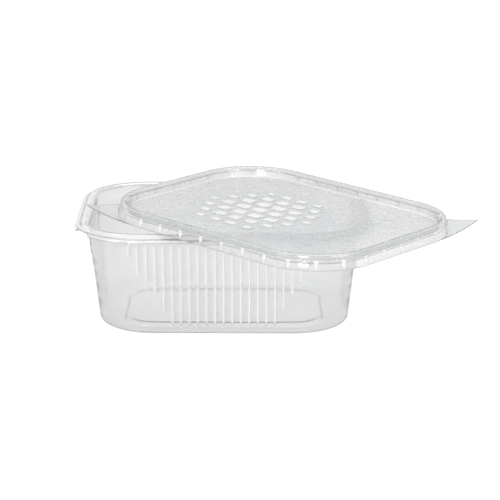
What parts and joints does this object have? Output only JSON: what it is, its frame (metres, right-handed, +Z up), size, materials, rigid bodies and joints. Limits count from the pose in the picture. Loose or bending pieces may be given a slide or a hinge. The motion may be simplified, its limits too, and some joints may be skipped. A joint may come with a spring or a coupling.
{
  "type": "takeaway meal container",
  "caption": "Clear plastic rectangular takeaway tub with rounded corners, rolled rim and ribbed walls, empty, with its separate frosted lid resting askew across the rim.",
  "frame": {"origin": "middle of the footprint of tub and lid together, on the surface the tub stands on", "axes": "+Z up, +X along the tub's long side, -Y the side the picture is taken from"},
  "size_m": [0.2018, 0.17, 0.0652],
  "materials": {
    "tub_plastic": "clear, slightly hazy moulded polypropylene",
    "lid_plastic": "translucent polypropylene, fine frosted panel with clear raised tiles"
  },
  "bodies": {
    "root": {"tub": "tub_plastic", "lid": "lid_plastic"}
  },
  "joints": []
}
